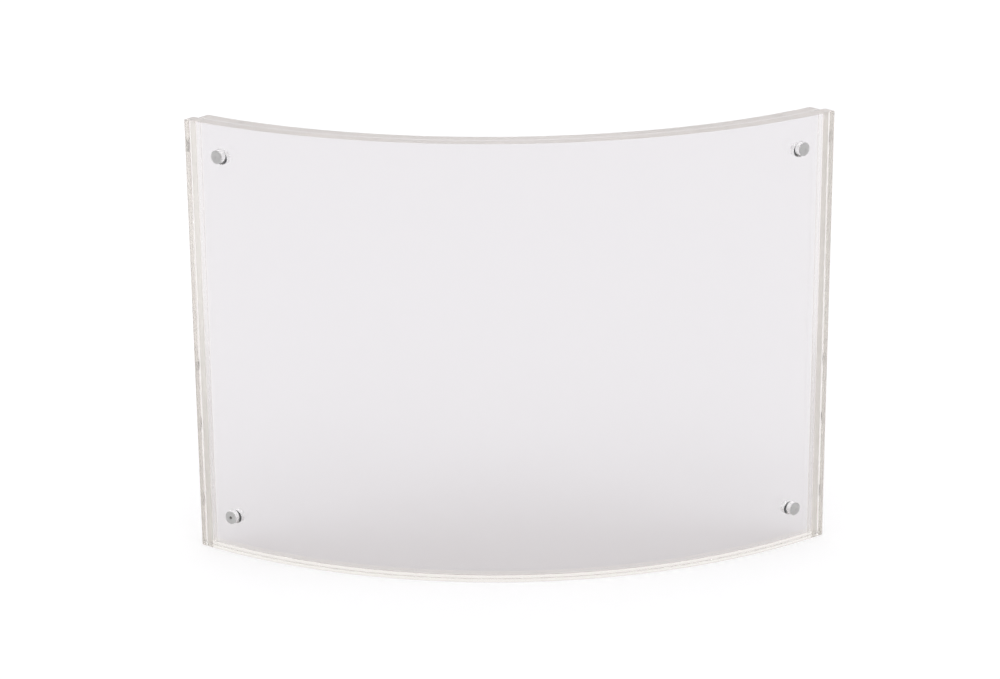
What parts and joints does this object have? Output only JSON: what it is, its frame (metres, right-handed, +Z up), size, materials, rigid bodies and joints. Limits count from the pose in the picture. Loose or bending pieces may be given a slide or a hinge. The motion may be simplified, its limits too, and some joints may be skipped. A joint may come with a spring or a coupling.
{
  "type": "curved acrylic sign holder",
  "caption": "Free-standing curved sign holder: bent clear acrylic panels, one behind the other, that corner magnets hold together round a paper sheet.",
  "frame": {"origin": "on the surface that the holder stands on, under the middle of its box", "axes": "+X to the viewer's right along the width, +Y from the convex front to the back, +Z up"},
  "size_m": [0.3066, 0.0616, 0.2159],
  "materials": {
    "clear_acrylic": "clear cast acrylic, polished faces and edges",
    "nickel_plate": "bright nickel plate"
  },
  "bodies": {
    "rear_assembly": {"rear_panel": "clear_acrylic", "rear_magnet_top_left": "nickel_plate", "rear_magnet_top_right": "nickel_plate", "rear_magnet_bottom_left": "nickel_plate", "rear_magnet_bottom_right": "nickel_plate"},
    "front_assembly": {"front_panel": "clear_acrylic", "front_magnet_top_left": "nickel_plate", "front_magnet_top_right": "nickel_plate", "front_magnet_bottom_left": "nickel_plate", "front_magnet_bottom_right": "nickel_plate"}
  },
  "joints": [
    {"name": "front_panel_pull", "type": "slide", "parent": "rear_assembly", "child": "front_assembly", "axis": [0, -1, 0], "range_m": [0, 0.08]}
  ]
}
